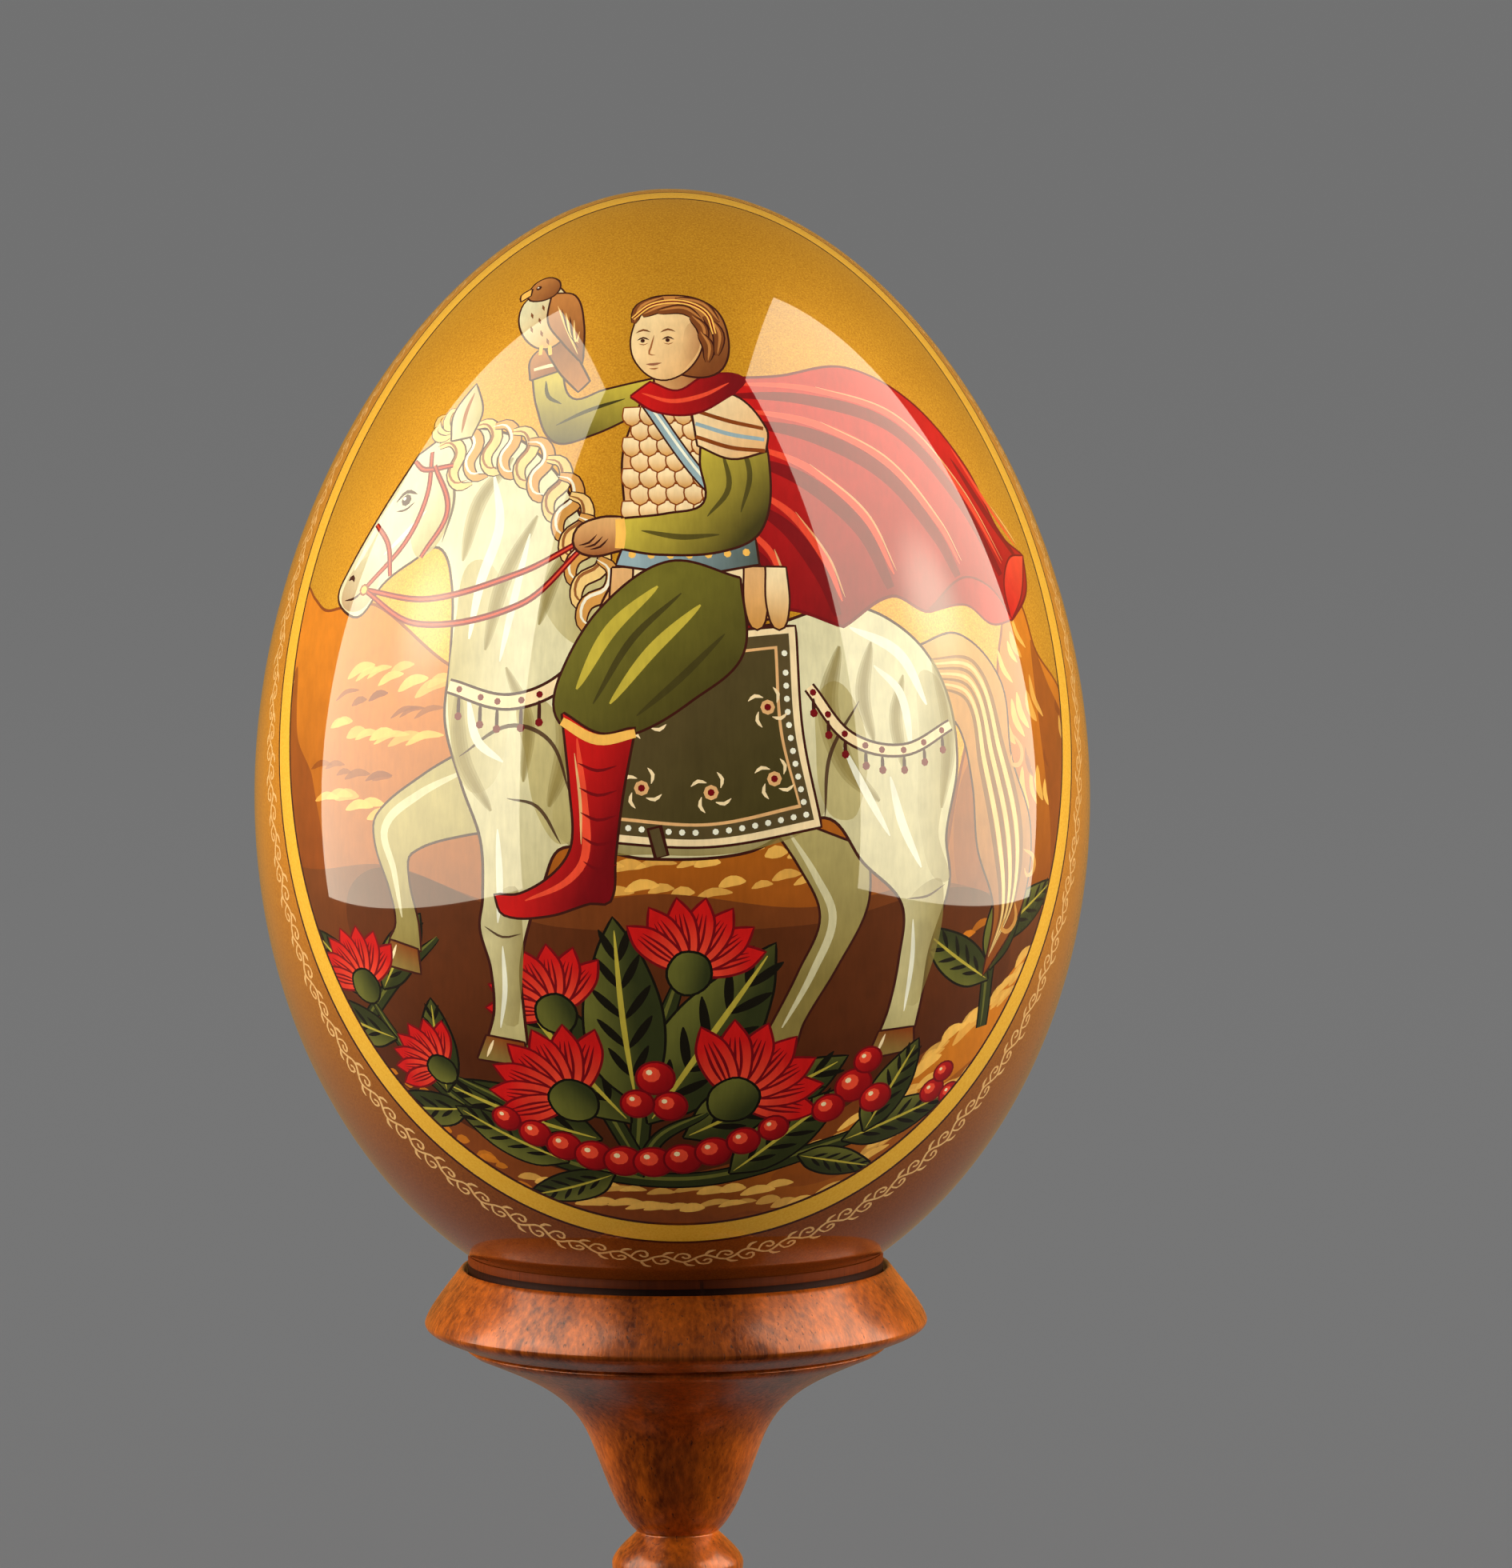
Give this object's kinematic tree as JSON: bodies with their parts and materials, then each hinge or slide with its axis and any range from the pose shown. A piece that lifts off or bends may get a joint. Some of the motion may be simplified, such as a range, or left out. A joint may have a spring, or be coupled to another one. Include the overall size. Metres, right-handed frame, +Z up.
{
  "type": "painted wooden egg on a turned stand",
  "caption": "Lacquered wooden egg with a gold-framed painted front, resting in a slender turned wooden stand with a flared cup, a beaded stem and a round bell foot.",
  "frame": {"origin": "centre of the stand's flat underside", "axes": "+Z up along the turning axis, -Y towards the painted front, +X to the viewer's right"},
  "size_m": [0.0702, 0.0702, 0.1452],
  "materials": {
    "egg_lacquer": "gold-dusted ground and painted picture on wood, under a thick clear gloss lacquer",
    "stand_wood": "red-brown turned hardwood with fine upright grain, under a satin-gloss varnish"
  },
  "bodies": {
    "root": {"egg": "egg_lacquer", "stand": "stand_wood"}
  },
  "joints": []
}
